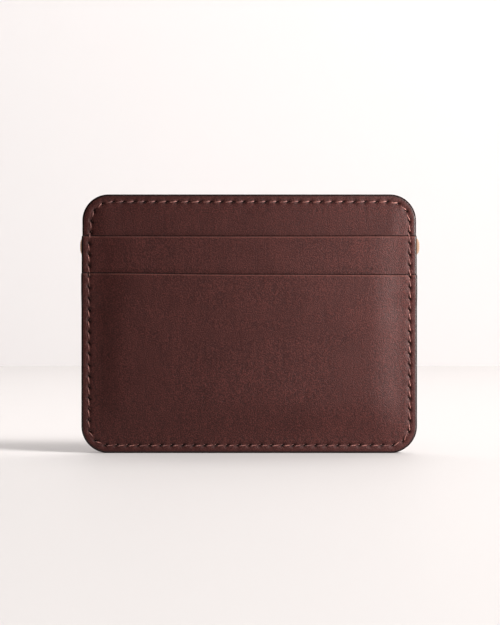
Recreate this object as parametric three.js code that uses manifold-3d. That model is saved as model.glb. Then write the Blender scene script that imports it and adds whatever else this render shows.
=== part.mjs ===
// A slim card wallet of dark brown leather: two stacked card slots on the front, and a tan elastic
// band across the back for folded notes. Millimetres.
//
// +X runs along the wallet, +Z up from the edge it stands on, and -Y is the face with the slots.
// The origin is the middle of that edge, half-way through the wallet's thickness.
//
// All leather sheets are pressed together and sewn in one seam round the rim. Inside the seam they
// stand off from each other by a card's thickness, so each sheet is a flat rim, a curved shoulder
// and a flat field. "Offset" below is how far a sheet's rear face lies in front of the rim plane
// y = 0, which is where the body panel and the back panel meet.
import * as THREE from "three";
import { mergeGeometries, mergeVertices } from "three/addons/utils/BufferGeometryUtils.js";
import Module from "manifold-3d";

// Outline
const HEIGHT = 77.1;
const LOWER_POCKET_LENGTH = 100;
const UPPER_POCKET_LENGTH = 99.9;
const PANEL_LENGTH = 99.6;
const CORNER_RADIUS = 8;

// Card slots: height of each mouth, and of the lower edge of the upper pocket's leather
const UPPER_MOUTH = 64.8;
const LOWER_MOUTH = 53.3;
const UPPER_HEM = 48.3;

// Thicknesses
const BACK_LEATHER = 1.0;
const CORE_BOARD = 0.45;
const BODY_LEATHER = 0.8;
const UPPER_LEATHER = 0.7;
const LOWER_LEATHER = 0.8;
const LINING_CLOTH = 0.15;

// One card of 0.76 mm fits each slot
const CARD_ROOM = 0.8;
const CORE_ROOM = 0.5; // between the body panel and the back panel, for the core board

// Shoulder between rim and field, as distances from the outline
const SIDE_SHOULDER = [3.6, 7.0];
const END_SHOULDER = [3.6, 6.0];
const POCKET_BOTTOM = [3.6, 16]; // the lower pocket's longer slope at its bottom

// Seam
const STITCHES = 99;
const SEAM_INSET = 2.3;
const SLIT_LENGTH = 1.1;
const SLIT_WIDTH = 0.6;
const THREAD = 0.32; // thickness of the thread
const THREAD_WIDTH = 0.4; // it is pulled flat
const LEG_SPACING = 0.5; // the thread goes down and comes up through the same slit
const THREAD_CLEARANCE = 0.05;
const FRONT_KNOT_Y = -0.1; // where the front thread turns back inside the leather
const BACK_KNOT_Y = 0.35;

// Elastic band
const BAND_HEIGHT = 5.2;
const BAND_CENTRE_Z = 61.6;
const BAND_THICKNESS = 0.8;
const BAND_RUN_HALF = 38; // half length of the free run that lifts
const BAND_GAP = 0.1;
const BIGHT_RIGHT = 50.85; // outermost point of the band where it turns round the right edge
const BIGHT_LEFT = 50.5;
const TAB_START = 46.5; // inner end of the tab that the seam catches
const TAB_THICKNESS = 0.32;
const TAB_RECESS = 0.4;

const wasm = await Module();
wasm.setup();

// ---------------------------------------------------------------- helpers

function smooth(x, from, to) {
  const t = THREE.MathUtils.clamp((x - from) / (to - from), 0, 1);
  return t * t * (3 - 2 * t);
}

function solidOf(geometry) {
  const bare = geometry.index ? geometry.toNonIndexed() : geometry.clone();
  const points = new THREE.BufferGeometry().setAttribute("position", bare.getAttribute("position"));
  const merged = mergeVertices(points, 1e-4);
  const vertProperties = new Float32Array(merged.attributes.position.array);
  const triVerts = new Uint32Array(merged.index.array);
  return new wasm.Manifold(new wasm.Mesh({ numProp: 3, vertProperties, triVerts }));
}

function geometryOf(solid) {
  const mesh = solid.getMesh();
  const positions = new Float32Array(mesh.numVert * 3);
  for (let i = 0; i < mesh.numVert; i++) {
    const start = i * mesh.numProp;
    positions.set(mesh.vertProperties.subarray(start, start + 3), i * 3);
  }
  const geometry = new THREE.BufferGeometry();
  geometry.setAttribute("position", new THREE.BufferAttribute(positions, 3));
  geometry.setIndex(new THREE.BufferAttribute(new Uint32Array(mesh.triVerts), 1));
  return geometry;
}

function block(x0, x1, y0, y1, z0, z1) {
  const box = new THREE.BoxGeometry(x1 - x0, y1 - y0, z1 - z0);
  return box.translate((x0 + x1) / 2, (y0 + y1) / 2, (z0 + z1) / 2);
}

// Extrudes a shape drawn in X and Z along Y, from y0 to y1.
function extrudeAlongY(shape, y0, y1) {
  const options = { depth: y1 - y0, bevelEnabled: false, curveSegments: 8 };
  return new THREE.ExtrudeGeometry(shape, options).rotateX(Math.PI / 2).translate(0, y1, 0);
}

// ---------------------------------------------------------------- sheets

// The lines that all sheets are bent along: the same columns, so that stacked sheets nest.
const cornerStart = LOWER_POCKET_LENGTH / 2 - CORNER_RADIUS;
const cornerSteps = [0, 10, 20, 30, 45, 60, 75, 90].map(THREE.MathUtils.degToRad);
const squeezeHeight = CORNER_RADIUS + 2; // rows nearer an end than this follow its round corners

function cornerRise(x, halfLength) {
  const radius = halfLength - cornerStart;
  const across = Math.max(0, Math.abs(x) - cornerStart);
  return radius - Math.sqrt(Math.max(0, radius ** 2 - across ** 2));
}

// Half of the columns, from the middle outwards: the corner's arc points, ending at the edge.
function halfColumns(halfLength) {
  const arc = cornerSteps.map((a) => cornerStart + CORNER_RADIUS * Math.sin(a));
  return [...arc.filter((x) => x < halfLength - 0.05), halfLength];
}

// A closed sheet. offsetAt(x, z) places its rear face, and thickness is added in front of that.
// rows are heights; the sheet's lower corners, and its upper ones if roundTop, follow the outline.
function sheet({ halfLength, rows, thickness, offsetAt, roundBottom = true, roundTop = false }) {
  const half = halfColumns(halfLength);
  const columns = [...half.map((x) => -x).reverse(), ...half];
  const heightAt = (x, z) => {
    const rise = cornerRise(x, halfLength);
    const fromTop = HEIGHT - z;
    if (roundBottom && z < squeezeHeight) return rise + (z * (squeezeHeight - rise)) / squeezeHeight;
    if (roundTop && fromTop < squeezeHeight)
      return HEIGHT - rise - (fromTop * (squeezeHeight - rise)) / squeezeHeight;
    return z;
  };
  const across = columns.length;
  const positions = [];
  for (const depth of [thickness, 0])
    for (const row of rows)
      for (const x of columns) {
        const z = heightAt(x, row);
        positions.push(x, -(offsetAt(x, z) + depth), z);
      }
  const front = (r, c) => r * across + c;
  const rear = (r, c) => rows.length * across + r * across + c;
  const index = [];
  const quad = (a, b, c, d) => index.push(a, b, c, a, c, d);
  for (let r = 0; r + 1 < rows.length; r++) {
    for (let c = 0; c + 1 < across; c++) {
      quad(front(r, c), front(r, c + 1), front(r + 1, c + 1), front(r + 1, c));
      quad(rear(r, c), rear(r + 1, c), rear(r + 1, c + 1), rear(r, c + 1));
    }
    const last = across - 1;
    quad(rear(r, 0), front(r, 0), front(r + 1, 0), rear(r + 1, 0));
    quad(front(r, last), rear(r, last), rear(r + 1, last), front(r + 1, last));
  }
  const top = rows.length - 1;
  for (let c = 0; c + 1 < across; c++) {
    quad(rear(0, c), rear(0, c + 1), front(0, c + 1), front(0, c));
    quad(front(top, c), front(top, c + 1), rear(top, c + 1), rear(top, c));
  }
  const geometry = new THREE.BufferGeometry();
  geometry.setAttribute("position", new THREE.Float32BufferAttribute(positions, 3));
  geometry.setIndex(index);
  return geometry;
}

// How much of the full stand-off a sheet has at (x, z): 0 on the rim, 1 in the field.
function sideRise(x) {
  return smooth(LOWER_POCKET_LENGTH / 2 - Math.abs(x), ...SIDE_SHOULDER);
}
function bottomRise(z) {
  return smooth(z, ...END_SHOULDER);
}
function fieldRise(x, z) {
  return sideRise(x) * bottomRise(z) * bottomRise(HEIGHT - z);
}

const endRows = [0, END_SHOULDER[0], (END_SHOULDER[0] + END_SHOULDER[1]) / 2, END_SHOULDER[1]];
const panelRows = [
  ...endRows,
  squeezeHeight,
  HEIGHT - squeezeHeight,
  ...endRows.map((z) => HEIGHT - z).reverse(),
];

// Body panel: flat, carries both pockets, and shows above the upper one.
function bodyPanel() {
  return sheet({
    halfLength: PANEL_LENGTH / 2,
    rows: [0, squeezeHeight, HEIGHT - squeezeHeight, HEIGHT],
    thickness: BODY_LEATHER,
    offsetAt: () => 0,
    roundTop: true,
  });
}

function backPanel() {
  return sheet({
    halfLength: PANEL_LENGTH / 2,
    rows: panelRows,
    thickness: BACK_LEATHER,
    offsetAt: (x, z) => -BACK_LEATHER - CORE_ROOM * fieldRise(x, z),
    roundTop: true,
  });
}

// The board that stiffens the wallet lies loose in the field, where both panels are flat.
function coreBoard() {
  const middle = CORE_ROOM / 2;
  const half = CORE_BOARD / 2;
  const low = END_SHOULDER[1];
  return block(-cornerStart, cornerStart, middle - half, middle + half, low, HEIGHT - low);
}

// How far each pocket's rear face stands in front of the body panel, in the field
const upperStandOff = CARD_ROOM + LINING_CLOTH;
const lowerStandOff = upperStandOff + CARD_ROOM;

// Upper pocket: a strip of leather, of which only the part above the lower mouth shows. Its ends
// are the ears that the seam catches.
function upperPocket() {
  return sheet({
    halfLength: UPPER_POCKET_LENGTH / 2,
    rows: [UPPER_HEM, UPPER_MOUTH],
    thickness: UPPER_LEATHER,
    offsetAt: (x) => BODY_LEATHER + upperStandOff * sideRise(x),
    roundBottom: false,
  });
}

// The cloth that carries on down from the strip, and ends glued to the body panel.
const LINING_ROWS = [12.5, 14.5, 15.75, 17, UPPER_HEM + 5.7];
function upperPocketLining() {
  return sheet({
    halfLength: cornerStart,
    rows: LINING_ROWS,
    thickness: LINING_CLOTH,
    offsetAt: (x, z) => BODY_LEATHER + CARD_ROOM * smooth(z, LINING_ROWS[1], LINING_ROWS[3]),
    roundBottom: false,
  });
}

// Lower pocket: its rim lies on the body panel, and climbs over the upper pocket's ears. Its field
// climbs over the upper pocket's hem more gently.
const EAR_RAMP = [43, 48];
const HEM_RAMP = [30, 48];
const lowerRows = [0, 3.6, 6, 8, squeezeHeight, 12, 14, 16, 30, 36, 40, 43, 48, LOWER_MOUTH];

function earStep(z) {
  return UPPER_LEATHER * THREE.MathUtils.clamp((z - EAR_RAMP[0]) / (EAR_RAMP[1] - EAR_RAMP[0]), 0, 1);
}
function lowerPocket() {
  return sheet({
    halfLength: LOWER_POCKET_LENGTH / 2,
    rows: lowerRows,
    thickness: LOWER_LEATHER,
    offsetAt: (x, z) => {
      const rim = earStep(z);
      const overHem = UPPER_LEATHER * smooth(z, ...HEM_RAMP);
      const field = lowerStandOff * smooth(z, ...POCKET_BOTTOM) + overHem;
      return BODY_LEATHER + THREE.MathUtils.lerp(rim, field, sideRise(x));
    },
  });
}

// ---------------------------------------------------------------- seam

// A rounded rectangle, clockwise as seen from the front, starting at the middle of the top.
function roundedOutline(halfLength, bottom, top, radius) {
  const x = halfLength - radius;
  const quarter = Math.PI / 2;
  const path = new THREE.Shape();
  path.moveTo(0, top).lineTo(x, top);
  path.absarc(x, top - radius, radius, quarter, 0, true);
  path.lineTo(halfLength, bottom + radius);
  path.absarc(x, bottom + radius, radius, 0, -quarter, true);
  path.lineTo(-x, bottom);
  path.absarc(-x, bottom + radius, radius, -quarter, -2 * quarter, true);
  path.lineTo(-halfLength, top - radius);
  path.absarc(-x, top - radius, radius, 2 * quarter, quarter, true);
  path.lineTo(0, top);
  return path;
}

function makeHoles() {
  const half = LOWER_POCKET_LENGTH / 2 - SEAM_INSET;
  const seam = roundedOutline(half, SEAM_INSET, HEIGHT - SEAM_INSET, CORNER_RADIUS - SEAM_INSET);
  return Array.from({ length: STITCHES }, (_, i) => {
    const along = (i + 0.5) / STITCHES;
    const p = seam.getPoint(along);
    const t = seam.getTangent(along).normalize();
    return {
      at: new THREE.Vector3(p.x, 0, p.y),
      along: new THREE.Vector3(t.x, 0, t.y),
      side: new THREE.Vector3(-t.y, 0, t.x),
    };
  });
}
const holes = makeHoles();

// All the awl slits as one solid of separate prongs, to be cut from what lies in the seam.
function makeSlits() {
  const reach = 20;
  const prongs = holes.map(({ at, along }) => {
    const prong = new THREE.BoxGeometry(SLIT_LENGTH, reach, SLIT_WIDTH);
    const turned = prong.rotateY(Math.atan2(-along.z, along.x));
    return turned.translate(at.x, at.y, at.z);
  });
  return solidOf(mergeGeometries(prongs));
}
const slits = makeSlits();

function punched(geometry) {
  return solidOf(geometry).subtract(slits);
}

// Heights where the front of the seam changes level, with the level's y just below and above.
const bodyFront = -BODY_LEATHER;
const earFront = bodyFront - UPPER_LEATHER;
const frontAboveHem = earFront - LOWER_LEATHER;
const frontOfRim = bodyFront - LOWER_LEATHER;
const edgeNear = 0.25; // the thread has climbed to the pocket's level this far above its mouth
const edgeFar = 0.6;
const levelChanges = [
  { z: UPPER_MOUTH + edgeFar, y: bodyFront },
  { z: UPPER_MOUTH + edgeNear, y: earFront },
  { z: LOWER_MOUTH + edgeFar, y: earFront },
  { z: LOWER_MOUTH + edgeNear, y: frontAboveHem },
  { z: EAR_RAMP[1], y: frontAboveHem },
  { z: EAR_RAMP[0], y: frontOfRim },
];
function seamFront(z) {
  if (z > UPPER_MOUTH) return bodyFront;
  if (z > LOWER_MOUTH) return earFront;
  return frontOfRim - earStep(z);
}

// One continuous thread on one side of the seam. It lies on the leather from slit to slit, and
// dips to knotY in each of them. out is -1 on the front and 1 on the back.
function thread(out, surfaceAt, knotY, changes) {
  const lift = out * (THREAD_CLEARANCE + THREAD / 2);
  const path = [];
  holes.forEach((hole, i) => {
    const next = holes[(i + 1) % holes.length];
    const leg = LEG_SPACING / 2;
    const top = surfaceAt(hole.at.z) + lift;
    const point = (along, y) => {
      const p = hole.at.clone().addScaledVector(hole.along, along);
      path.push({ at: p.setY(y), side: hole.side });
    };
    point(-leg, top);
    point(-leg, knotY);
    point(leg, knotY);
    point(leg, top);
    const from = hole.at;
    const to = next.at;
    const crossed = changes.filter((c) => (c.z - from.z) * (c.z - to.z) < 0);
    crossed.sort((a, b) => (to.z - from.z) * (a.z - b.z));
    for (const change of crossed) {
      const share = (change.z - from.z) / (to.z - from.z);
      const p = from.clone().lerp(to, share);
      path.push({ at: p.setY(change.y + lift), side: hole.side });
    }
  });

  const positions = [];
  path.forEach(({ at, side }, i) => {
    const before = path[(i + path.length - 1) % path.length].at;
    const after = path[(i + 1) % path.length].at;
    const arriving = side.clone().cross(at.clone().sub(before)).normalize();
    const leaving = side.clone().cross(after.clone().sub(at)).normalize();
    const mitre = arriving.clone().add(leaving).divideScalar(1 + arriving.dot(leaving));
    mitre.multiplyScalar(THREAD / 2);
    for (const [m, s] of [[1, 1], [1, -1], [-1, -1], [-1, 1]]) {
      const corner = at.clone().addScaledVector(mitre, m);
      corner.addScaledVector(side, (s * THREAD_WIDTH) / 2);
      positions.push(...corner.toArray());
    }
  });
  const index = [];
  for (let i = 0; i < path.length; i++) {
    const a = i * 4;
    const b = ((i + 1) % path.length) * 4;
    for (let k = 0; k < 4; k++) {
      const n = (k + 1) % 4;
      index.push(a + k, b + n, a + n, a + k, b + k, b + n);
    }
  }
  const geometry = new THREE.BufferGeometry();
  geometry.setAttribute("position", new THREE.Float32BufferAttribute(positions, 3));
  geometry.setIndex(index);
  return geometry;
}

// ---------------------------------------------------------------- elastic band

const bandLow = BAND_CENTRE_Z - BAND_HEIGHT / 2;
const bandHigh = BAND_CENTRE_Z + BAND_HEIGHT / 2;
const backFieldY = BACK_LEATHER + CORE_ROOM;
const runFrontY = backFieldY + BAND_GAP;
const threadTopY = BACK_LEATHER + THREAD_CLEARANCE + THREAD;
const overSeamY = threadTopY + BAND_GAP;

// An outline in X and Y, extruded over the band's height, for the right side or mirrored.
function bandProfile(points, direction) {
  const shape = new THREE.Shape(points.map(([x, y]) => new THREE.Vector2(x * direction, y)));
  const options = { depth: BAND_HEIGHT, bevelEnabled: false };
  return new THREE.ExtrudeGeometry(shape, options).translate(0, 0, bandLow);
}

function bandRun() {
  const half = BAND_RUN_HALF;
  return block(-half, half, runFrontY, runFrontY + BAND_THICKNESS, bandLow, bandHigh);
}

// From the free run out to the bight: the stretch that slopes down from the field to the rim.
const STRETCH_GAP = 0.3;
const FIELD_EDGE = 43;
const BIGHT_START = 48.9;
function bandStretch(direction) {
  const start = BAND_RUN_HALF + STRETCH_GAP;
  const end = BIGHT_START - STRETCH_GAP;
  const outer = BAND_THICKNESS;
  return bandProfile(
    [
      [start, runFrontY],
      [FIELD_EDGE, runFrontY],
      [end, overSeamY + 0.05],
      [end, overSeamY + 0.05 + outer],
      [FIELD_EDGE, runFrontY + outer],
      [start, runFrontY + outer],
    ],
    direction,
  );
}

// The bight round the back panel's edge, and the tab between the panels that the seam catches.
// In front view its end is a low dome, because the band's edges are drawn in.
function bandAnchor(direction, outermost) {
  const edge = PANEL_LENGTH / 2;
  const inner = edge + 0.15;
  const tabFront = (TAB_RECESS - TAB_THICKNESS) / 2;
  const tabRear = tabFront + TAB_THICKNESS;
  const rear = overSeamY + BAND_THICKNESS;
  const turn = bandProfile(
    [
      [TAB_START, tabFront],
      [edge, tabFront],
      [outermost - 0.25, tabFront + 0.35],
      [outermost, tabFront + 0.85],
      [outermost, rear - 0.9],
      [outermost - 0.3, rear - 0.35],
      [edge, rear],
      [BIGHT_START, rear],
      [BIGHT_START, overSeamY],
      [edge - 0.1, overSeamY],
      [inner, overSeamY - 0.25],
      [inner, tabRear + 0.1],
      [edge, tabRear],
      [TAB_START, tabRear],
    ],
    direction,
  );
  const dome = new THREE.Shape();
  const domeStart = edge - 0.4;
  const reach = outermost - domeStart;
  dome.moveTo(direction * (TAB_START - 1), bandLow).lineTo(direction * domeStart, bandLow);
  const halfTurn = direction > 0 ? [-Math.PI / 2, Math.PI / 2] : [-Math.PI / 2, -1.5 * Math.PI];
  const clockwise = direction < 0;
  dome.absellipse(direction * domeStart, BAND_CENTRE_Z, reach, BAND_HEIGHT / 2, ...halfTurn, clockwise);
  dome.lineTo(direction * (TAB_START - 1), bandHigh);
  return solidOf(turn).intersect(solidOf(extrudeAlongY(dome, -2, 4))).subtract(slits);
}

// The back panel is skived where a tab lies against it.
function tabRecess(direction) {
  const margin = 0.2;
  const inner = direction * (TAB_START - margin);
  const outer = direction * (LOWER_POCKET_LENGTH / 2 + 1);
  const [x0, x1] = [Math.min(inner, outer), Math.max(inner, outer)];
  return solidOf(block(x0, x1, -1, TAB_RECESS, bandLow - margin, bandHigh + margin));
}

// ---------------------------------------------------------------- assembly

const darkLeather = { color: 0x4a2826, roughness: 0.5, metalness: 0 };
const lightLeather = { color: 0x55302d, roughness: 0.5, metalness: 0 };
const board = { color: 0x6b4a36, roughness: 0.9, metalness: 0 };
const cloth = { color: 0x2c1c1a, roughness: 0.95, metalness: 0 };
const brownThread = { color: 0x6b4038, roughness: 0.6, metalness: 0 };
const tanElastic = { color: 0xd9ac82, roughness: 0.8, metalness: 0 };

const wallet = new THREE.Group();
// The front of the lower pocket and the rear of the band are the wallet's outermost faces.
const frontmostY = frontAboveHem - lowerStandOff;
const rearmostY = runFrontY + BAND_THICKNESS;
wallet.position.y = -(frontmostY + rearmostY) / 2;

function add(name, geometry, finish) {
  const mesh = new THREE.Mesh(geometry, new THREE.MeshStandardMaterial(finish));
  mesh.name = name;
  wallet.add(mesh);
}

const skivedBack = punched(backPanel()).subtract(tabRecess(1)).subtract(tabRecess(-1));
add("back_panel", geometryOf(skivedBack), darkLeather);
add("core_board", coreBoard(), board);
add("body_panel", geometryOf(punched(bodyPanel())), darkLeather);
add("upper_pocket", geometryOf(punched(upperPocket())), lightLeather);
add("upper_pocket_lining", upperPocketLining(), cloth);
add("lower_pocket", geometryOf(punched(lowerPocket())), lightLeather);
add("front_thread", thread(-1, seamFront, FRONT_KNOT_Y, levelChanges), brownThread);
add("back_thread", thread(1, () => BACK_LEATHER, BACK_KNOT_Y, []), brownThread);
add("band_run", bandRun(), tanElastic);
add("band_stretch_right", bandStretch(1), tanElastic);
add("band_stretch_left", bandStretch(-1), tanElastic);
add("band_anchor_right", geometryOf(bandAnchor(1, BIGHT_RIGHT)), tanElastic);
add("band_anchor_left", geometryOf(bandAnchor(-1, BIGHT_LEFT)), tanElastic);

export default wallet;
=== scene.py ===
# A slim card wallet in dark brown leather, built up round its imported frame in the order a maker
# would assemble it: back, board, body, two pockets, the seam, and the elastic band. Metres.
import math
import bmesh
import bpy
import numpy as np
from mathutils import Matrix, Vector


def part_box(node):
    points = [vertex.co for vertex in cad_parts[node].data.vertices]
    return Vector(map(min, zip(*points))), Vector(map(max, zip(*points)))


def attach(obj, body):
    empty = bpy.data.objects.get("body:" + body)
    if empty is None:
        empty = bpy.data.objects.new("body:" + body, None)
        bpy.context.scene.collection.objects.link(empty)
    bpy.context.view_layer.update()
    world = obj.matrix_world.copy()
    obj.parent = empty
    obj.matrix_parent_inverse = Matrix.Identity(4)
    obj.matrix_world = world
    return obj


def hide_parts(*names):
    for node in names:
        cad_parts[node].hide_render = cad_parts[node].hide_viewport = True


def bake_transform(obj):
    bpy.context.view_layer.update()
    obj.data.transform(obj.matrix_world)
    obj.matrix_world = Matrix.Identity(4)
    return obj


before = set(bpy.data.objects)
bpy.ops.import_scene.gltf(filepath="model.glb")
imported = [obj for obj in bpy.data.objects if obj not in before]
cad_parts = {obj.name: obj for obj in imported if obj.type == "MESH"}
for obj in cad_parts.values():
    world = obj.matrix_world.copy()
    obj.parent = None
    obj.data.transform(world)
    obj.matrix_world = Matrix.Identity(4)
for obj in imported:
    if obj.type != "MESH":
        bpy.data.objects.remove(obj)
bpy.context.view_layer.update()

# ---------------------------------------------------------------- camera
# The wallet is seen square on, from a camera held level a little above its middle. A long lens
# keeps its sides straight.
MM = 0.001
VIEW_DISTANCE = 444 * MM
VIEW_HEIGHT = 41.85 * MM
VIEW_RIGHT = 0.24 * MM
camera = bpy.data.objects.new("camera", bpy.data.cameras.new("camera"))
camera.data.lens = 85.8
camera.data.sensor_width = 36
camera.location = (VIEW_RIGHT, -VIEW_DISTANCE, VIEW_HEIGHT)
camera.rotation_euler = (math.radians(90), 0, 0)
bpy.context.scene.collection.objects.link(camera)
bpy.context.scene.camera = camera

# ---------------------------------------------------------------- studio
# A pale warm table top and a white wall behind it. A far window on the right lights only those two
# and the band's ends, and throws the soft shadow to the left. A large overhead light fills
# everything, and a small lamp close on the right, kept off all that the window lights, rakes over
# the leather. A black card on the left deepens that side. Neither lamps nor card show in any view.
WALL_Y = 0.72
ROOM = 6.0
CARD_PLACE = (-0.115, -0.19, 0.13)
CARD_HEIGHT = 0.26
CARD_LENGTH = 0.32
FLAT = (0, 0, 0)
FACING_FRONT = (math.radians(90), 0, 0)
FACING_RIGHT = (0, math.radians(90), 0)
WALLET_MIDDLE = (0, 0, 0.04)
DAYLIGHT = (1.0, 0.98, 0.96)


def studio_plane(name, location, rotation, paint, roughness):
    """A plain painted plane of the studio's set, which is not part of the wallet."""
    finish = bpy.data.materials.new(name)
    finish.use_nodes = True
    surface = finish.node_tree.nodes["Principled BSDF"]
    surface.inputs["Base Color"].default_value = (*paint, 1)
    surface.inputs["Roughness"].default_value = roughness
    surface.inputs["Specular IOR Level"].default_value = 0.2
    bpy.ops.object.select_all(action="DESELECT")
    bpy.ops.mesh.primitive_plane_add(size=ROOM, location=location, rotation=rotation)
    plane = bpy.context.object
    plane.name = name
    plane.data.materials.append(finish)
    return plane


def soft_light(name, location, target, size, watts, tint=DAYLIGHT):
    lamp = bpy.data.lights.new(name, "AREA")
    lamp.shape = "RECTANGLE"
    lamp.size, lamp.size_y = size
    lamp.energy = watts
    lamp.color = tint
    stand = bpy.data.objects.new(name, lamp)
    stand.location = location
    aim = Vector(target) - Vector(location)
    stand.rotation_euler = aim.to_track_quat("-Z", "Y").to_euler()
    stand.visible_camera = False
    bpy.context.scene.collection.objects.link(stand)
    return stand


table_top = studio_plane("table_top", (0, 0, 0), FLAT, paint=(0.65, 0.627, 0.62), roughness=0.6)
wall = studio_plane("wall", (0, WALL_Y, 0), FACING_FRONT, paint=(0.84, 0.818, 0.818), roughness=0.9)
dark_card = studio_plane("dark_card", CARD_PLACE, FACING_RIGHT, paint=(0.02, 0.02, 0.02), roughness=0.9)
dark_card.scale = (CARD_HEIGHT / ROOM, CARD_LENGTH / ROOM, 1)
dark_card.visible_camera = False
window = soft_light("window", (2.3, -1.04, 2.0), WALLET_MIDDLE, size=(0.9, 0.9), watts=122)
soft_light("overhead", (0, 0, 1), (0, 0.06, 0), size=(1.4, 1.2), watts=6, tint=(1.0, 0.985, 0.98))
side_lamp = soft_light("side_lamp", (0.18, -0.095, 0.085), WALLET_MIDDLE, size=(0.08, 0.14), watts=1.15)
window_lit = bpy.data.collections.new("lit_by_window")
window.light_linking.receiver_collection = window_lit
side_shielded = bpy.data.collections.new("kept_out_of_side_lamp")
side_lamp.light_linking.receiver_collection = side_shielded
window_passes = bpy.data.collections.new("casts_no_shadow_from_window")
window.light_linking.blocker_collection = window_passes


def leave_out(thing, collection):
    """Makes a lamp, through the collection it is linked to, take no account of a thing."""
    collection.objects.link(thing)
    for member in collection.collection_objects:
        member.light_linking.link_state = "EXCLUDE"


def light_from_window_only(thing):
    window_lit.objects.link(thing)
    leave_out(thing, side_shielded)


light_from_window_only(table_top)
light_from_window_only(wall)
leave_out(dark_card, window_passes)
sky = bpy.data.worlds.new("studio_air")
sky.use_nodes = True
sky.node_tree.nodes["Background"].inputs["Color"].default_value = (1.0, 0.98, 0.98, 1)
sky.node_tree.nodes["Background"].inputs["Strength"].default_value = 0.17
bpy.context.scene.world = sky
bpy.context.scene.view_settings.view_transform = "Standard"

# ---------------------------------------------------------------- seam line
# One row of slanted awl slits runs round the whole rim and is what holds the sheets together. It
# is marked out first, because every sheet is pulled down along it. At the top of the left side
# the row wanders inwards, as it does where an awl meets the step of a pocket's edge.
STITCHES = 99
SLIT_SLANT = math.radians(32)
SEAM_WANDER = 0.6 * MM
WANDER_LEFTWARDS = (30 * MM, 44 * MM)
WANDER_UPWARDS = (-1 * MM, 2 * MM)
TRACK_POINTS = 1200
seam_low, seam_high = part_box("front_thread")
cad_thread_half = 0.2 * MM
seam_half = seam_high.x - cad_thread_half
seam_bottom = seam_low.z + cad_thread_half
seam_top = seam_high.z - cad_thread_half
rim_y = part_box("body_panel")[1].y
upper_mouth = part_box("upper_pocket")[1].z
lower_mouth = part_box("lower_pocket")[1].z
wallet_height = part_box("back_panel")[1].z
outline_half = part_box("lower_pocket")[1].x
CORNER_RADIUS = 8 * MM
seam_radius = CORNER_RADIUS - (outline_half - seam_half)


def smooth(value, start, end):
    t = np.clip((value - start) / (end - start), 0, 1)
    return t * t * (3 - 2 * t)


def seam_point(share):
    """Place and direction at a share of the way round the seam, clockwise from its top middle."""
    across = seam_half - seam_radius
    up = (seam_top - seam_bottom) / 2 - seam_radius
    middle = (seam_top + seam_bottom) / 2
    arc = seam_radius * math.pi / 2
    runs = [across, arc, 2 * up, arc, 2 * across, arc, 2 * up, arc, across]
    along = (share % 1) * sum(runs)
    stretch = 0
    while along > runs[stretch]:
        along -= runs[stretch]
        stretch += 1
    if stretch % 2:
        corner_x = across if stretch in (1, 3) else -across
        corner_z = middle + (up if stretch in (1, 7) else -up)
        turn = math.pi / 2 * (1 - (stretch - 1) / 2) - along / seam_radius
        x = corner_x + seam_radius * math.cos(turn)
        z = corner_z + seam_radius * math.sin(turn)
        heading = Vector((math.sin(turn), 0, -math.cos(turn)))
    elif stretch in (0, 4, 8):
        heading = Vector((-1 if stretch == 4 else 1, 0, 0))
        start = {0: 0, 4: across, 8: -across}[stretch]
        x = start + along * heading.x
        z = seam_bottom if stretch == 4 else seam_top
    else:
        heading = Vector((0, 0, -1 if stretch == 2 else 1))
        x = seam_half if stretch == 2 else -seam_half
        z = middle - up * heading.z + along * heading.z
    if x < 0:
        near_top_left = smooth(z - upper_mouth, *WANDER_UPWARDS) * smooth(-x, *WANDER_LEFTWARDS)
        x += SEAM_WANDER * float(near_top_left)
    return Vector((x, 0, z)), heading


slits = [seam_point((i + 0.5) / STITCHES) for i in range(STITCHES)]
slit_at = np.array([(p.x, p.z) for p, _ in slits])
slit_heading = np.array([(h.x, h.z) for _, h in slits])
track = [seam_point(i / TRACK_POINTS)[0] for i in range(TRACK_POINTS)]
seam_track = np.array([(p.x, p.z) for p in track])


def nearest(points, targets):
    """Distance from each point to its nearest target, and which target that is."""
    distance = np.full(len(points), np.inf)
    which = np.zeros(len(points), dtype=int)
    for i, target in enumerate(targets):
        d = np.hypot(points[:, 0] - target[0], points[:, 1] - target[1])
        closer = d < distance
        distance[closer] = d[closer]
        which[closer] = i
    return distance, which


# ---------------------------------------------------------------- back panel
# The rear sheet of 1 mm vegetable-tanned cowhide, die-cut, with its edge rounded and painted dark.
# It is sewn to the body all round, which draws it down along the seam, and it is pressed out over
# the board. The outermost PAINTED_WALL of its edge paint has no shine.
BACK_LEATHER = 1.0 * MM
OUTLINE_STEP = 0.5 * MM
CORNER_STEPS = 26
EDGE_RINGS_MM = (0.7, 0.9, 1.12, 1.36)
SEAM_RINGS_MM = (1.62, 1.88, 2.12, 2.36, 2.62, 2.9, 3.2)
SHOULDER_RINGS_MM = (3.55, 4.0, 4.6, 5.4, 6.3, 7.3)
FIELD_STEP = 2.5 * MM
MOUTH_ROWS_MM = (0, 0.7, 0.85, 1.1, 1.6, 2.6)
OUTER_ROUND = 0.6 * MM
INNER_ROUND = 0.08 * MM
EDGE_PAINT = 0.75 * MM
PAINTED_WALL = 0.3 * MM
SKIVE_WIDTH = 1.7 * MM
SKIVE_DEPTH = 0.2 * MM
SKIVE_CURVE = 1.5
GROOVE_WIDTH = 0.62 * MM
GROOVE_DEPTH = 0.13 * MM
PUCKER_WIDTH = 0.95 * MM
PUCKER_DEPTH = 0.17 * MM
PIT_LENGTH = 0.62 * MM
PIT_WIDTH = 0.30 * MM
PIT_DEPTH = 0.38 * MM
LIFT_REACH = 8 * MM
CREASE_BELOW_MOUTH = 0.42 * MM
CREASE_WIDTH = 0.16 * MM
MOUTH_PAINT_BELOW = (0.34 * MM, 0.20 * MM)
SIDE_SHOULDER = (3.0 * MM, 13.0 * MM)
CROWN = 0.30
BOARD_SHOULDER = (3.6 * MM, 7.0 * MM)


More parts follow.
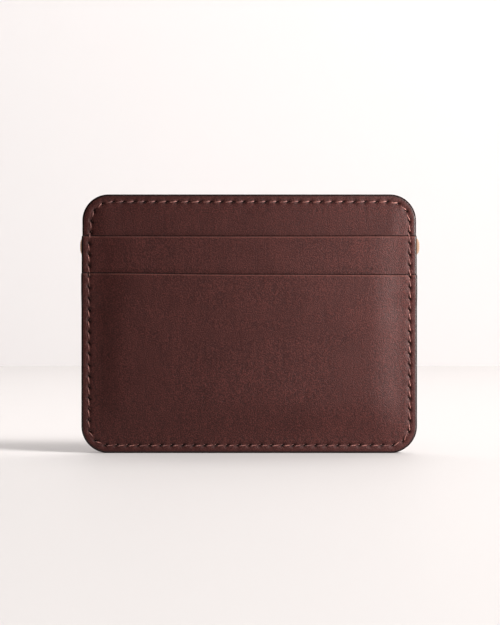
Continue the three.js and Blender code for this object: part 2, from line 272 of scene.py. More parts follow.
def edit(piece):
    bpy.ops.object.select_all(action="DESELECT")
    piece.select_set(True)
    bpy.context.view_layer.objects.active = piece
    bpy.ops.object.mode_set(mode="EDIT")
    return bmesh.from_edit_mesh(piece.data)


def pick(shell, elements, chosen):
    """Selects, in edit mode, just those elements for which chosen(element) is true."""
    bpy.ops.mesh.select_all(action="DESELECT")
    for element in elements:
        if chosen(element):
            element.select_set(True)
    shell.select_flush_mode()


def apply_modifiers(piece):
    bpy.ops.object.mode_set(mode="OBJECT")
    for modifier in list(piece.modifiers):
        bpy.ops.object.modifier_apply(modifier=modifier.name)


def cut_leather(name, half, low, high, thickness):
    """A flat die-cut sheet, front face at y = 0 and rear face at y = thickness. Concentric rings
    follow the wallet's outline, close together where the seam runs, and a grid covers the field.
    A pocket is the part of that outline between low and high, cut straight across."""
    bpy.ops.object.select_all(action="DESELECT")
    middle = wallet_height / 2
    bpy.ops.mesh.primitive_plane_add(size=1, location=(0, 0, middle), rotation=(math.pi / 2, 0, 0))
    piece = bpy.context.object
    piece.name = name
    piece.data.name = name
    piece.scale = (2 * half, wallet_height, 1)
    bpy.ops.object.transform_apply(location=True, rotation=True, scale=True)
    edit(piece)
    bpy.ops.mesh.select_mode(type="VERT")
    bpy.ops.mesh.select_all(action="SELECT")
    radius = half - (outline_half - CORNER_RADIUS)
    bpy.ops.mesh.bevel(affect="VERTICES", offset=radius, segments=CORNER_STEPS, profile=0.5)
    bpy.ops.mesh.select_mode(type="EDGE")
    shell = bmesh.from_edit_mesh(piece.data)
    while any(e.calc_length() > OUTLINE_STEP for e in shell.edges):
        pick(shell, shell.edges, lambda e: e.calc_length() > OUTLINE_STEP)
        bpy.ops.mesh.subdivide(number_cuts=1)
        shell = bmesh.from_edit_mesh(piece.data)
    bpy.ops.mesh.select_mode(type="FACE")
    bpy.ops.mesh.select_all(action="SELECT")
    reached = 0
    for depth in EDGE_RINGS_MM + SEAM_RINGS_MM + SHOULDER_RINGS_MM:
        bpy.ops.mesh.inset(thickness=depth * MM - reached, use_boundary=True, use_even_offset=True)
        reached = depth * MM
    across = np.arange(-half + reached + FIELD_STEP / 2, half - reached, FIELD_STEP)
    upward = np.arange(reached + FIELD_STEP / 2, wallet_height - reached, FIELD_STEP)
    cuts = [((x, 0, 0), (1, 0, 0)) for x in across] + [((0, 0, z), (0, 0, 1)) for z in upward]
    for place, direction in cuts:
        bpy.ops.mesh.bisect(plane_co=place, plane_no=direction)
        shell = bmesh.from_edit_mesh(piece.data)
        pick(shell, shell.faces, lambda f: is_field(f, half, reached))
    if high < wallet_height:
        for depth in MOUTH_ROWS_MM:
            level = high - depth * MM
            bpy.ops.mesh.select_all(action="SELECT")
            bpy.ops.mesh.bisect(plane_co=(0, 0, level), plane_no=(0, 0, 1), clear_outer=depth == 0)
    if low > 0:
        bpy.ops.mesh.select_all(action="SELECT")
        bpy.ops.mesh.bisect(plane_co=(0, 0, low), plane_no=(0, 0, 1), clear_inner=True)
    bpy.ops.object.mode_set(mode="OBJECT")
    wall = piece.modifiers.new("thickness", "SOLIDIFY")
    wall.thickness = thickness
    wall.offset = -1
    apply_modifiers(piece)
    return piece


def is_field(face, half, reached):
    centre = face.calc_center_median()
    return abs(centre.x) < half - reached and reached < centre.z < wallet_height - reached


def round_edge(piece, radius, chosen, segments=5):
    """Rounds the sharp edges whose middle chosen(point) picks."""
    edit(piece)
    bpy.ops.mesh.select_mode(type="EDGE")
    bpy.ops.mesh.select_all(action="DESELECT")
    bpy.ops.mesh.edges_select_sharp(sharpness=math.radians(60))
    shell = bmesh.from_edit_mesh(piece.data)
    for e in shell.edges:
        if e.select and not chosen((e.verts[0].co + e.verts[1].co) / 2):
            e.select_set(False)
    shell.select_flush_mode()
    bpy.ops.mesh.bevel(offset=radius, segments=segments, profile=0.5, affect="EDGES")
    bpy.ops.object.mode_set(mode="OBJECT")


def inside_outline(x, z):
    """Distance inwards from the wallet's outline, a rectangle with round corners."""
    middle = wallet_height / 2
    over_x = np.maximum(np.abs(x) - (outline_half - CORNER_RADIUS), 0)
    over_z = np.maximum(np.abs(z - middle) - (middle - CORNER_RADIUS), 0)
    from_side = -np.maximum(np.abs(x) - outline_half, np.abs(z - middle) - middle)
    from_corner = CORNER_RADIUS - np.hypot(over_x, over_z)
    return np.where((over_x > 0) & (over_z > 0), from_corner, from_side)


def side_rise(x):
    """How far the field stands out, from 0 at the rim to 1 in the middle, over a slight crown."""
    crown = 1 - CROWN * (x / outline_half) ** 2
    return smooth(outline_half - np.abs(x), *SIDE_SHOULDER) * crown


def seam_pull(x, z):
    """How the leather is drawn down: a groove under the thread, and a deeper pit at each slit.
    Returns the depth, and how much of it is pit."""
    points = np.column_stack((x, z))
    to_track, _ = nearest(points, seam_track)
    to_slit, which = nearest(points, slit_at)
    away = points - slit_at[which]
    heading = slit_heading[which]
    along = (away * heading).sum(1)
    sideways = away[:, 1] * heading[:, 0] - away[:, 0] * heading[:, 1]
    u = along * math.cos(SLIT_SLANT) + sideways * math.sin(SLIT_SLANT)
    v = sideways * math.cos(SLIT_SLANT) - along * math.sin(SLIT_SLANT)
    pit = np.exp(-((u / PIT_LENGTH) ** 2) - ((v / PIT_WIDTH) ** 2))
    groove = np.exp(-((to_track / GROOVE_WIDTH) ** 2))
    pucker = np.exp(-((to_slit / PUCKER_WIDTH) ** 2))
    depth = GROOVE_DEPTH * groove + PUCKER_DEPTH * pucker + PIT_DEPTH * pit
    return depth, pit


def press(
    piece, thickness, offset_at, front_seam=False, rear_seam=False, mouth_edge=None, lift=None
):
    """Bends a flat sheet so that its rear face lies offset_at(x, z) in front of the rim plane, draws
    it down along the seam, and thins it towards its cut edge, as if skived. lift(x) moves a mouth's
    edge up. It also marks the leather for its finish: pits for painted shade, edge paint, and the
    pale line creased just below a mouth, which is a painted highlight."""
    mesh = piece.data
    flat = np.empty(len(mesh.vertices) * 3)
    mesh.vertices.foreach_get("co", flat)
    flat = flat.reshape(-1, 3)
    x, depth_in, z = flat[:, 0], flat[:, 1], flat[:, 2]
    pull, pit = seam_pull(x, z)
    front = np.clip(1 - depth_in / thickness, 0, 1)
    rear = 1 - front
    half = np.abs(x).max()
    inwards = inside_outline(x * outline_half / half, z)
    drawn = pull + SKIVE_DEPTH * np.clip(1 - inwards / SKIVE_WIDTH, 0, 1) ** SKIVE_CURVE
    y = rim_y - offset_at(x, z) - thickness + depth_in
    if front_seam:
        y = y + drawn * front
    if rear_seam:
        y = y - drawn * rear
    shown = front * front_seam + rear * rear_seam
    height = z
    if lift:
        height = z + lift(x) * smooth(z, mouth_edge - LIFT_REACH, mouth_edge)
    mesh.vertices.foreach_set("co", np.column_stack((x, y, height)).ravel())
    paint = smooth(-inwards, -EDGE_PAINT, -EDGE_PAINT / 2)
    marks = {"pit": pit * shown, "paint": paint, "edge": np.zeros(len(x))}
    if mouth_edge is not None:
        crease_z = mouth_edge - CREASE_BELOW_MOUTH
        marks["edge"] = np.exp(-(((crease_z - z) / CREASE_WIDTH) ** 2)) * front
        paint_start, paint_full = (mouth_edge - below for below in MOUTH_PAINT_BELOW)
        marks["paint"] = np.maximum(paint, smooth(z, paint_start, paint_full))
    for name, values in marks.items():
        layer = mesh.attributes.new(name, "FLOAT", "POINT")
        layer.data.foreach_set("value", values.astype(np.float32))
    mesh.update()
    bpy.ops.object.select_all(action="DESELECT")
    piece.select_set(True)
    bpy.context.view_layer.objects.active = piece
    bpy.ops.object.shade_smooth_by_angle(angle=math.radians(50))


def colour(red, green, blue):
    """A colour given as 0 to 255, as linear light."""
    shares = [c / 255 for c in (red, green, blue)]
    return (*[((c + 0.055) / 1.055) ** 2.4 if c > 0.04 else c / 12.92 for c in shares], 1)


def grey(value):
    return (value, value, value, 1)


def new_finish(name):
    finish = bpy.data.materials.new(name)
    finish.use_nodes = True
    nodes = finish.node_tree.nodes
    return finish, nodes, finish.node_tree.links, nodes["Principled BSDF"]


def noise(nodes, links, place, scale, detail=4.0, roughness=0.55, stretch=(1, 1, 1)):
    mapping = nodes.new("ShaderNodeMapping")
    mapping.inputs["Scale"].default_value = stretch
    links.new(place, mapping.inputs["Vector"])
    texture = nodes.new("ShaderNodeTexNoise")
    texture.inputs["Scale"].default_value = scale
    texture.inputs["Detail"].default_value = detail
    texture.inputs["Roughness"].default_value = roughness
    links.new(mapping.outputs["Vector"], texture.inputs["Vector"])
    return texture.outputs["Fac"]


def ramp(nodes, links, value, stops):
    shade = nodes.new("ShaderNodeValToRGB")
    links.new(value, shade.inputs["Fac"])
    bands = shade.color_ramp.elements
    while len(bands) < len(stops):
        bands.new(0.5)
    for band, (position, tint) in zip(bands, stops):
        band.position = position
        band.color = tint
    return shade.outputs["Color"]


def mix(nodes, links, amount, first, second):
    node = nodes.new("ShaderNodeMix")
    node.data_type = "RGBA"
    factor_socket, first_socket, second_socket = node.inputs[0], node.inputs[6], node.inputs[7]
    given = ((factor_socket, amount), (first_socket, first), (second_socket, second))
    for socket, value in given:
        if isinstance(value, (float, int, tuple)):
            socket.default_value = value
        else:
            links.new(value, socket)
    return node.outputs[2]


def math_node(nodes, links, operation, first, second):
    node = nodes.new("ShaderNodeMath")
    node.operation = operation
    for socket, value in zip(node.inputs, (first, second)):
        if isinstance(value, (float, int)):
            socket.default_value = value
        else:
            links.new(value, socket)
    return node.outputs[0]


def mark(nodes, name):
    node = nodes.new("ShaderNodeAttribute")
    node.attribute_name = name
    return node.outputs["Fac"]


def relief(nodes, links, surface, height, strength, distance, over=None):
    """Roughens a surface by a height, on top of another relief if it is given that one's node."""
    bump = nodes.new("ShaderNodeBump")
    bump.inputs["Strength"].default_value = strength
    bump.inputs["Distance"].default_value = distance
    links.new(height, bump.inputs["Height"])
    if over:
        links.new(over.outputs["Normal"], bump.inputs["Normal"])
    links.new(bump.outputs["Normal"], surface.inputs["Normal"])
    return bump


# Pale brown painted along the crease line below a mouth as a highlight.
CREASE_HIGHLIGHT_COLOUR = colour(116, 68, 59)
EDGE_PAINT_BROWN = colour(24, 11, 10)
PAINT_ROUGHNESS = 0.24
# The near-black brown painted into the seam's slits as shade.
PIT_SHADE_BROWN = colour(12, 5, 4)
PIT_SHADE_STRENGTH = 1.25
PIT_ROUGHNESS = 0.95
CLOUD_SHARE = 0.12
STREAK_SHARE = 0.14
SPECK_SHARE = 0.74


def leather_finish(name, shadow, body, light, shift=0.0, shine=0.2):
    """Aniline-dyed, waxed cowhide: cloudy dye, faint upright streaks, a fine pebbled grain with
    pores, and a soft uneven polish. Painted shade darkens the seam's pits, and a painted highlight
    lightens the line creased below a mouth. shift moves the pattern, so that two sheets differ."""
    finish, nodes, links, surface = new_finish(name)
    place = nodes.new("ShaderNodeTexCoord").outputs["Object"]
    moved = nodes.new("ShaderNodeMapping")
    moved.inputs["Location"].default_value = (shift, shift, shift)
    links.new(place, moved.inputs["Vector"])
    place = moved.outputs["Vector"]
    cloud = noise(nodes, links, place, scale=90, detail=6, roughness=0.68)
    streak = noise(nodes, links, place, scale=900, detail=3, roughness=0.6, stretch=(1, 1, 0.16))
    speck = noise(nodes, links, place, scale=3000, detail=2, roughness=0.6)
    dye = 0
    for pattern, share in ((cloud, CLOUD_SHARE), (streak, STREAK_SHARE), (speck, SPECK_SHARE)):
        part = math_node(nodes, links, "MULTIPLY", pattern, share)
        dye = math_node(nodes, links, "ADD", dye, part)
    tone = ramp(nodes, links, dye, [(0.39, shadow), (0.5, body), (0.62, light)])
    # Painted highlight: the line creased below a mouth is mixed towards a pale brown, made patchy by
    # noise.
    crease_highlight_patches = noise(nodes, links, place, scale=700, detail=3, roughness=0.7)
    crease_highlight = math_node(nodes, links, "MULTIPLY", mark(nodes, "edge"), crease_highlight_patches)
    tone = mix(nodes, links, crease_highlight, tone, CREASE_HIGHLIGHT_COLOUR)
    tone = mix(nodes, links, mark(nodes, "paint"), tone, EDGE_PAINT_BROWN)
    # Painted shade: the seam's pits are darkened towards a near-black brown.
    dark = math_node(nodes, links, "MULTIPLY", mark(nodes, "pit"), PIT_SHADE_STRENGTH)
    pit_shade = math_node(nodes, links, "MINIMUM", dark, 1.0)
    tone = mix(nodes, links, pit_shade, tone, PIT_SHADE_BROWN)
    links.new(tone, surface.inputs["Base Color"])
    polish = ramp(nodes, links, cloud, [(0.3, grey(0.46)), (0.7, grey(0.58))])
    polish = mix(nodes, links, mark(nodes, "paint"), polish, grey(PAINT_ROUGHNESS))
    polish = mix(nodes, links, pit_shade, polish, grey(PIT_ROUGHNESS))
    links.new(polish, surface.inputs["Roughness"])
    surface.inputs["Specular IOR Level"].default_value = shine
    pores = nodes.new("ShaderNodeTexVoronoi")
    pores.feature = "DISTANCE_TO_EDGE"
    pores.inputs["Scale"].default_value = 1900
    links.new(place, pores.inputs["Vector"])
    crease = ramp(nodes, links, pores.outputs["Distance"], [(0.0, grey(0)), (0.16, grey(1))])
    grain = relief(nodes, links, surface, crease, strength=0.16, distance=0.05 * MM)
    shallow = math_node(nodes, links, "MULTIPLY", streak, 0.25)
    pebbles = math_node(nodes, links, "ADD", shallow, speck)
    relief(nodes, links, surface, pebbles, strength=0.5, distance=0.36 * MM, over=grain)
    return finish


def dress(piece, leather):
    """Leather on the faces, waxed leather on the rounded edge, and matt paint on the cut wall."""
    for finish in (leather, burnished_edge, painted_edge):
        piece.data.materials.append(finish)
    centres = np.empty(len(piece.data.polygons) * 3)
    piece.data.polygons.foreach_get("center", centres)
    x, z = centres[0::3], centres[2::3]
    inwards = inside_outline(x * outline_half / np.abs(x).max(), z)
    slot = (inwards < OUTER_ROUND).astype(np.int32) + (inwards < PAINTED_WALL)
    piece.data.polygons.foreach_set("material_index", slot.astype(np.int32))


DARK_DYE = (colour(40, 14, 12), colour(55, 22, 19), colour(73, 34, 30))
dark_leather = leather_finish("dark_leather", *DARK_DYE)
burnished_edge = leather_finish("burnished_edge", *DARK_DYE, shift=0.1, shine=0.25)
painted_edge = leather_finish("painted_edge", *DARK_DYE, shift=0.2, shine=0.0)
back_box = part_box("back_panel")
back = cut_leather("back_leather", back_box[1].x, 0, wallet_height, BACK_LEATHER)
round_edge(back, OUTER_ROUND, lambda p: p.y > BACK_LEATHER / 2)
round_edge(back, INNER_ROUND, lambda p: p.y < BACK_LEATHER / 2, segments=1)
board_room = back_box[1].y - rim_y - BACK_LEATHER


def back_offset(x, z):
    ends = smooth(z, *BOARD_SHOULDER) * smooth(wallet_height - z, *BOARD_SHOULDER)
    over_board = ends * smooth(outline_half - np.abs(x), *BOARD_SHOULDER)
    return -BACK_LEATHER - board_room * over_board


press(back, BACK_LEATHER, back_offset, rear_seam=True)
dress(back, dark_leather)
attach(back, "sewn_wallet")
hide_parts("back_panel")

# ---------------------------------------------------------------- core board
# A thin fibre board lies loose between back and body, and keeps the wallet flat and upright. It is
# die-cut from dense pulp board, so its face is speckled and matt.
board_finish, nodes, links, surface = new_finish("fibre_board")
place = nodes.new("ShaderNodeTexCoord").outputs["Object"]
pulp = noise(nodes, links, place, scale=1400, detail=4, roughness=0.7)
pulp_tone = ramp(nodes, links, pulp, [(0.35, colour(120, 88, 64)), (0.65, colour(160, 124, 92))])
links.new(pulp_tone, surface.inputs["Base Color"])
surface.inputs["Roughness"].default_value = 0.9
relief(nodes, links, surface, pulp, strength=0.3, distance=0.05 * MM)
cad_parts["core_board"].data.materials.clear()
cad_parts["core_board"].data.materials.append(board_finish)

# ---------------------------------------------------------------- body panel
# The 0.8 mm cowhide sheet that carries both pockets and shows as the strip above them. The seam
# holds it to the back round its whole rim, and inside the seam it swells a little over the board.
BODY_LEATHER = 0.8 * MM
BODY_SWELL = 0.4 * MM
SWELL_SIDES = (2.8 * MM, 8 * MM)
SWELL_TOP = (2.6 * MM, 7.5 * MM)
SWELL_FOOT = (-4 * MM, 0)
body_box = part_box("body_panel")


def body_offset(x, z):
    ends = smooth(wallet_height - z, *SWELL_TOP) * smooth(z - upper_mouth, *SWELL_FOOT)
    return BODY_SWELL * ends * smooth(outline_half - np.abs(x), *SWELL_SIDES)


body = cut_leather("body_leather", body_box[1].x, 0, wallet_height, BODY_LEATHER)
round_edge(body, OUTER_ROUND, lambda p: p.y < BODY_LEATHER / 2 and p.z > lower_mouth)
press(body, BODY_LEATHER, body_offset, front_seam=True)
dress(body, dark_leather)
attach(body, "sewn_wallet")
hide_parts("body_panel")

# ---------------------------------------------------------------- upper pocket
# A strip of thinner leather makes the upper slot's mouth. Its ends are the ears that the seam
# catches. A line is creased just below its mouth edge, and a painted highlight makes it paler than the
# face.
UPPER_LEATHER = 0.7 * MM
UPPER_SAG = 0.12 * MM
HEM_MARGIN = 1 * MM
upper_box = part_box("upper_pocket")
upper_stand_off = rim_y - upper_box[0].y - BODY_LEATHER - UPPER_LEATHER


def upper_offset(x, z):
    return BODY_LEATHER + upper_stand_off * side_rise(x)


def upper_lift(x):
    return -UPPER_SAG * (1 - (x / outline_half) ** 2)


upper_hem = upper_box[0].z
upper = cut_leather("upper_pocket_leather", upper_box[1].x, upper_hem, upper_mouth, UPPER_LEATHER)
round_edge(upper, OUTER_ROUND, lambda p: p.y < UPPER_LEATHER / 2 and p.z > upper_hem + HEM_MARGIN)
press(upper, UPPER_LEATHER, upper_offset, front_seam=True, mouth_edge=upper_mouth, lift=upper_lift)
POCKET_DYE = (colour(41, 14, 12), colour(56, 23, 20), colour(75, 35, 31))
pocket_leather = leather_finish("pocket_leather", *POCKET_DYE, shift=0.3)
dress(upper, pocket_leather)
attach(upper, "sewn_wallet")
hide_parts("upper_pocket")

# ---------------------------------------------------------------- upper pocket lining
# Thin woven polyester carries the upper pocket on down where it can't be seen. It is stretched flat
# between two glue lines, one behind the strip and one at its foot, on the body panel.
CLOTH = 0.15 * MM
CLOTH_COLUMNS = 42
CLOTH_ROWS = 83
GLUED_FOOT = (14.5 * MM, 17 * MM)
lining_low, lining_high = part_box("upper_pocket_lining")
lining_size = lining_high - lining_low
lining_middle = (0, lining_high.y, (lining_low.z + lining_high.z) / 2)
bpy.ops.object.select_all(action="DESELECT")
bpy.ops.mesh.primitive_grid_add(x_subdivisions=CLOTH_COLUMNS, y_subdivisions=CLOTH_ROWS, size=1)
lining = bpy.context.object
lining.name = "pocket_lining_cloth"
lining.data.name = "pocket_lining_cloth"
lining.location = lining_middle
lining.rotation_euler = (math.pi / 2, 0, 0)
lining.scale = (lining_size.x, lining_size.z, 1)
bpy.ops.object.transform_apply(location=True, rotation=True, scale=True)
cloth_body = lining.modifiers.new("cloth_body", "SOLIDIFY")
cloth_body.thickness = CLOTH
cloth_body.offset = 1
apply_modifiers(lining)
for v in lining.data.vertices:
    v.co.y -= (lining_size.y - CLOTH) * float(smooth(v.co.z, *GLUED_FOOT))
lining_finish, nodes, links, surface = new_finish("lining_weave")
place = nodes.new("ShaderNodeTexCoord").outputs["Object"]
THREADS_APART = 0.35 * MM
weave = []
for direction in ("X", "Z"):
    wave = nodes.new("ShaderNodeTexWave")
    wave.bands_direction = direction
    wave.inputs["Scale"].default_value = math.pi / 10 / THREADS_APART
    links.new(place, wave.inputs["Vector"])
    weave.append(wave.outputs["Fac"])
crossing = math_node(nodes, links, "MULTIPLY", *weave)
weave_tone = ramp(nodes, links, crossing, [(0.0, colour(30, 20, 19)), (1.0, colour(62, 42, 38))])
links.new(weave_tone, surface.inputs["Base Color"])
surface.inputs["Roughness"].default_value = 0.85
relief(nodes, links, surface, crossing, strength=0.5, distance=0.05 * MM)
lining.data.materials.append(lining_finish)
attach(lining, "sewn_wallet")
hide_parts("upper_pocket_lining")

# ---------------------------------------------------------------- lower pocket
# The large front sheet of 0.8 mm cowhide, sewn in at its sides and foot. Its rim lies on the body
# panel and climbs over the upper pocket's ears, and its field stands out over both slots. The
# mouth is cut a touch high at its left.
LOWER_LEATHER = 0.8 * MM
EAR_RAMP = (43 * MM, 48 * MM)
HEM_RAMP = (30 * MM, 48 * MM)
POCKET_BOTTOM = (3.0 * MM, 16 * MM)
LEFT_LIFT = 0.45 * MM
RIGHT_DROP = 0.12 * MM
lower_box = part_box("lower_pocket")
lower_stand_off = rim_y - lower_box[0].y - BODY_LEATHER - LOWER_LEATHER - UPPER_LEATHER


def ear_climb(z):
    """How far the rim has climbed over the upper pocket's ears, from 0 to 1."""
    return np.clip((z - EAR_RAMP[0]) / (EAR_RAMP[1] - EAR_RAMP[0]), 0, 1)


def lower_offset(x, z):
    rim = UPPER_LEATHER * ear_climb(z)
    field = lower_stand_off * smooth(z, *POCKET_BOTTOM) + UPPER_LEATHER * smooth(z, *HEM_RAMP)
    return BODY_LEATHER + rim + (field - rim) * side_rise(x)


def lower_lift(x):
    return LEFT_LIFT * smooth(-x, 0, outline_half) - RIGHT_DROP * smooth(x, 0, outline_half)


lower = cut_leather("lower_pocket_leather", lower_box[1].x, 0, lower_mouth, LOWER_LEATHER)
round_edge(lower, OUTER_ROUND, lambda p: p.y < LOWER_LEATHER / 2)
press(lower, LOWER_LEATHER, lower_offset, front_seam=True, mouth_edge=lower_mouth, lift=lower_lift)
dress(lower, pocket_leather)
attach(lower, "sewn_wallet")
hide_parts("lower_pocket")

# ---------------------------------------------------------------- seam threads
# Two waxed polyester threads of three twisted plies, one on each face, locked together inside the
# leather. Each stitch leaves its first slit deep in the groove, climbs aslant to a crest three
# quarters of the way along, and dives into the next slit.
THREAD_RADIUS = 0.18 * MM
THREAD_SIDES = 6
PLY_HOLLOW = 0.74
STITCH_RINGS = 12
TWIST = math.radians(32)
START_DEPTH = 0.42 * MM
START_CURVE = 1.6
END_DEPTH = 0.6 * MM
END_CURVE = 2
CREST = 0.5
SEAT = 0.13 * MM
STITCH_SLANT = 0.31 * MM
STEP_BLEND = 0.5 * MM
pitch = (slits[1][0] - slits[0][0]).length


def model_stitch():
    """One stitch along X, with its top towards -Y and its ends diving to +Y."""
    bpy.ops.object.select_all(action="DESELECT")
    bpy.ops.mesh.primitive_cylinder_add(vertices=THREAD_SIDES, radius=THREAD_RADIUS, depth=pitch)
    stitch = bpy.context.object
    stitch.rotation_euler = (0, math.pi / 2, 0)
    bpy.ops.object.transform_apply(location=True, rotation=True, scale=True)
    shell = edit(stitch)
    bpy.ops.mesh.select_mode(type="VERT")
    corner = 2 * math.pi / THREAD_SIDES
    pick(shell, shell.verts, lambda v: round(math.atan2(v.co.z, v.co.y) / corner) % 2 == 0)
    bpy.ops.transform.resize(value=(1, PLY_HOLLOW, PLY_HOLLOW), center_override=(0, 0, 0))
    for k in range(1, STITCH_RINGS):
        bpy.ops.mesh.select_all(action="SELECT")
        x = -pitch / 2 + pitch * k / STITCH_RINGS
        bpy.ops.mesh.bisect(plane_co=(x, 0, 0), plane_no=(1, 0, 0))
    for k in range(STITCH_RINGS + 1):
        x = -pitch / 2 + pitch * k / STITCH_RINGS
        shell = bmesh.from_edit_mesh(stitch.data)
        pick(shell, shell.verts, lambda v: abs(v.co.x - x) < pitch / STITCH_RINGS / 4)
        bpy.ops.transform.rotate(value=TWIST * k, orient_axis="X", center_override=(x, 0, 0))
        share = 2 * x / pitch
        if share < CREST:
            sink = START_DEPTH * ((CREST - share) / (1 + CREST)) ** START_CURVE
        else:
            sink = END_DEPTH * ((share - CREST) / (1 - CREST)) ** END_CURVE
        bpy.ops.transform.translate(value=(0, sink, 0))
    bpy.ops.object.mode_set(mode="OBJECT")
    bpy.ops.object.shade_smooth()
    return stitch


def rim_front(z):
    """How far the front of the rim stands in front of the rim plane at height z, for the thread."""
    below_upper = smooth(-z, -upper_mouth - STEP_BLEND, -upper_mouth)
    below_lower = smooth(-z, -lower_mouth - STEP_BLEND, -lower_mouth)
    ear_gone = UPPER_LEATHER * (1 - ear_climb(z))
    return BODY_LEATHER + UPPER_LEATHER * below_upper + LOWER_LEATHER * below_lower - ear_gone


def sew(name, pattern, flip, surface_y):
    """A copy of the pattern stitch from every slit to the next, joined as one thread."""
    copies = []
    for i in range(STITCHES):
        start, end = slits[i][0], slits[(i + 1) % STITCHES][0]
        left = Vector((-(end - start).z, 0, (end - start).x)).normalized()
        slanted = (end - start) + left * 2 * STITCH_SLANT
        along = slanted.normalized()
        sideways = Vector((-along.z, 0, along.x))
        down = Vector((0, 1, 0))
        if flip:
            down, sideways = -down, -sideways
        turn = Matrix((along, down, sideways)).transposed().to_4x4()
        copy = pattern.copy()
        copy.data = pattern.data.copy()
        bpy.context.scene.collection.objects.link(copy)
        copy.data.transform(Matrix.Translation((start + end) / 2) @ turn)
        for v in copy.data.vertices:
            v.co.y += surface_y(v.co.z)
        copies.append(copy)
    bpy.ops.object.select_all(action="DESELECT")
    for copy in copies:
        copy.select_set(True)
    bpy.context.view_layer.objects.active = copies[0]
    bpy.ops.object.join()
    copies[0].name = name
    copies[0].data.name = name
    return copies[0]


def average(nodes, links, first, second):
    both = math_node(nodes, links, "ADD", first, second)
    return math_node(nodes, links, "MULTIPLY", both, 0.5)


def thread_finish():
    """Waxed brown polyester: fibres catch the light along the plies."""
    finish, nodes, links, surface = new_finish("brown_thread")
    place = nodes.new("ShaderNodeTexCoord").outputs["Object"]
    fibres = noise(nodes, links, place, scale=5200, detail=3, roughness=0.6)
    patches = noise(nodes, links, place, scale=260, detail=2, roughness=0.5)
    mixed = average(nodes, links, fibres, patches)
    browns = [(0.36, colour(78, 38, 33)), (0.5, colour(118, 66, 58)), (0.66, colour(170, 112, 99))]
    links.new(ramp(nodes, links, mixed, browns), surface.inputs["Base Color"])
    surface.inputs["Roughness"].default_value = 0.55
    surface.inputs["Sheen Weight"].default_value = 0.25
    relief(nodes, links, surface, fibres, strength=0.4, distance=0.04 * MM)
    return finish


brown_thread = thread_finish()
pattern = model_stitch()
front_seam = sew("front_stitching", pattern, False, lambda z: rim_y - float(rim_front(z)) + SEAT)
back_seam = sew("back_stitching", pattern, True, lambda z: rim_y + BACK_LEATHER - SEAT)
bpy.data.objects.remove(pattern)
for seam, node in ((front_seam, "front_thread"), (back_seam, "back_thread")):
    seam.data.materials.append(brown_thread)
    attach(seam, "sewn_wallet")
    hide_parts(node)

# ---------------------------------------------------------------- elastic band
# A tan knitted elastic crosses the back and holds folded notes. Each end turns round the back
# panel's edge in a domed bight and is sewn in between body and back, so it shows from the front
# as a small rounded lug. The middle lifts away, and the ends stretch after it.
RIBS = 9
RIB_HEIGHT = 0.05 * MM
ACROSS_CUTS = 36
RUN_CUTS = 120
END_CUTS = 90
SELVEDGE_SHARE = 0.25
SELVEDGE_CURVE = 7
HEADING_STEP = 0.05 * MM
run_low, run_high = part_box("band_run")
band_half = (run_high.z - run_low.z) / 2
band_z = (run_high.z + run_low.z) / 2
band_thick = run_high.y - run_low.y


def model_band(name, route, length_cuts, bow=None):
    """A strip of elastic along a route of (x, y, half thickness), lofted from a cube. bow draws
    the outer points of the route in towards the strip's long edges."""
    bpy.ops.object.select_all(action="DESELECT")
    bpy.ops.mesh.primitive_cube_add(size=2)
    strip = bpy.context.object
    strip.name = name
    strip.data.name = name
    edit(strip)
    cuts = [((-1 + 2 * k / length_cuts, 0, 0), (1, 0, 0)) for k in range(1, length_cuts)]
    cuts += [((0, 0, -1 + 2 * k / ACROSS_CUTS), (0, 0, 1)) for k in range(1, ACROSS_CUTS)]
    for place, direction in cuts:
        bpy.ops.mesh.select_all(action="SELECT")
        bpy.ops.mesh.bisect(plane_co=place, plane_no=direction)
    bpy.ops.object.mode_set(mode="OBJECT")
    points = np.array(route)
    steps = np.hypot(np.diff(points[:, 0]), np.diff(points[:, 1]))
    reach = np.concatenate(([0], np.cumsum(steps)))

    def place_at(s):
        return [float(np.interp(s, reach, points[:, c])) for c in range(3)]

    mapped = []
    for v in strip.data.vertices:
        s = (v.co.x + 1) / 2 * reach[-1]
        x, y, half = place_at(s)
        ahead_x, ahead_y, _ = place_at(min(s + HEADING_STEP, reach[-1]))
        behind_x, behind_y, _ = place_at(max(s - HEADING_STEP, 0))
        tangent = Vector((ahead_x - behind_x, ahead_y - behind_y)).normalized()
        rib = RIB_HEIGHT * math.cos(v.co.z * math.pi * RIBS) * min(1, half / (band_thick / 2))
        body_share = math.sqrt(max(0, 1 - abs(v.co.z) ** SELVEDGE_CURVE))
        thickness_share = SELVEDGE_SHARE + (1 - SELVEDGE_SHARE) * body_share
        out = (half * thickness_share - RIB_HEIGHT + rib) * v.co.y
        x -= tangent.y * out
        y += tangent.x * out
        if bow:
            x = bow(x, v.co.z)
        mapped.append(((x, y, band_z + v.co.z * band_half), (s, v.co.z * band_half)))
    weave_map = strip.data.uv_layers.new(name="weave")
    for loop in strip.data.loops:
        weave_map.data[loop.index].uv = [c / MM for c in mapped[loop.vertex_index][1]]
    for v, (place, _) in zip(strip.data.vertices, mapped):
        v.co = place
    bpy.ops.object.select_all(action="DESELECT")
    strip.select_set(True)
    bpy.context.view_layer.objects.active = strip
    bpy.ops.object.mode_set(mode="EDIT")
    bpy.ops.mesh.select_all(action="SELECT")
    bpy.ops.mesh.normals_make_consistent(inside=False)
    bpy.ops.object.mode_set(mode="OBJECT")
    bpy.ops.object.shade_smooth_by_angle(angle=math.radians(60))
    return strip


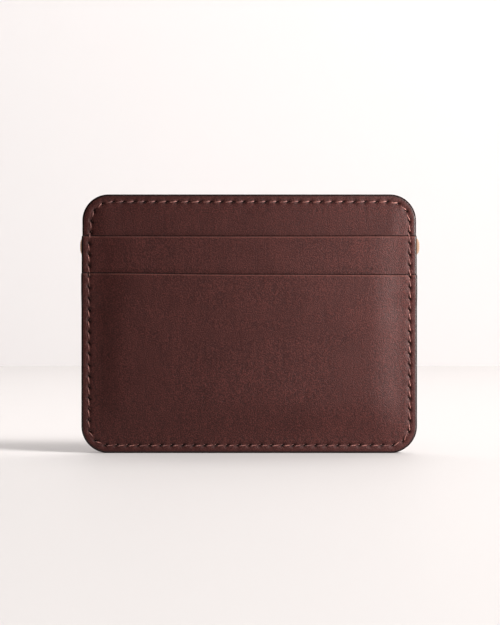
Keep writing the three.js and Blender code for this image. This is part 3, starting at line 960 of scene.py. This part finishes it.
def elastic_finish():
    """Knitted elastic: cotton-covered ribs along it, crossed by fine picks, slightly fuzzy."""
    finish, nodes, links, surface = new_finish("tan_elastic")
    weave_map = nodes.new("ShaderNodeUVMap")
    weave_map.uv_map = "weave"
    place = weave_map.outputs["UV"]
    picks = nodes.new("ShaderNodeTexWave")
    picks.bands_direction = "X"
    picks.inputs["Scale"].default_value = 1.1
    picks.inputs["Distortion"].default_value = 1.2
    picks.inputs["Detail Scale"].default_value = 3
    links.new(place, picks.inputs["Vector"])
    fuzz = noise(nodes, links, place, scale=9, detail=4, roughness=0.7)
    cloud = noise(nodes, links, place, scale=0.5, detail=2, roughness=0.5)
    knit = average(nodes, links, picks.outputs["Fac"], fuzz)
    tans = [(0.25, colour(176, 139, 111)), (0.7, colour(207, 172, 144))]
    faded = math_node(nodes, links, "MULTIPLY", cloud, 0.25)
    tone = mix(nodes, links, faded, ramp(nodes, links, knit, tans), colour(187, 148, 118))
    links.new(tone, surface.inputs["Base Color"])
    surface.inputs["Roughness"].default_value = 0.85
    surface.inputs["Sheen Weight"].default_value = 0.3
    relief(nodes, links, surface, knit, strength=0.6, distance=0.06 * MM)
    return finish


tan_elastic = elastic_finish()
run_y = (run_low.y + run_high.y) / 2
run_route = [(x, run_y, band_thick / 2) for x in (run_low.x, run_high.x)]
middle = model_band("band_middle", run_route, RUN_CUTS)
middle.data.materials.append(tan_elastic)
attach(middle, "cash_band")
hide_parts("band_run")

edge_x = back_box[1].x
TAB_Y = 0.18 * MM
TAB_HALF = 0.15 * MM
TAB_LENGTH = 3 * MM
TAB_END = 0.3 * MM
TURN_STEPS = 8
TURN_START = 0.2 * MM
BIGHT_PROUD = 0.15 * MM
BOW_START = 0.1 * MM
BOW_AMOUNT = 0.95
BOW_POWER = 2.6
# The strip meets the back at ON_BACK_X, and is level with the run from CLIMBED_X inwards.
ON_BACK_X = 49 * MM
CLIMBED_X = 43 * MM


def dome(x, across):
    """Draws a bight in towards the strip's long edges, so that it shows as a rounded lug."""
    start = edge_x - BOW_START
    if x < start:
        return x
    return start + (x - start) * math.sqrt(max(0, 1 - BOW_AMOUNT * abs(across) ** BOW_POWER))


for side, direction in (("left", -1), ("right", 1)):
    anchor_low, anchor_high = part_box("band_anchor_" + side)
    outermost = (anchor_high.x if direction > 0 else -anchor_low.x) + BIGHT_PROUD
    rear = anchor_high.y - band_thick / 2
    front = rim_y + TAB_Y
    turn_radius = (rear - front) / 2
    turn_x = outermost - band_thick / 2
    route = [(edge_x - TAB_LENGTH, front, TAB_HALF), (edge_x - TAB_END, front, TAB_HALF)]
    turn_start = edge_x - TURN_START
    for k in range(TURN_STEPS + 1):
        turn = math.pi * k / TURN_STEPS
        swell = TAB_HALF + (band_thick / 2 - TAB_HALF) * smooth(k / TURN_STEPS, 0, 0.5)
        x = turn_start + (turn_x - turn_start) * math.sin(turn)
        route.append((x, front + turn_radius * (1 - math.cos(turn)), float(swell)))
    route.append((ON_BACK_X, rear, band_thick / 2))
    route.append((CLIMBED_X, run_y, band_thick / 2))
    route.append((run_high.x, run_y, band_thick / 2))
    end = model_band("band_" + side + "_end", route, END_CUTS, dome)
    if direction < 0:
        for v in end.data.vertices:
            v.co.x = -v.co.x
        end.data.flip_normals()
    end.data.materials.append(tan_elastic)
    light_from_window_only(end)
    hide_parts("band_anchor_" + side, "band_stretch_" + side)
    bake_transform(end)
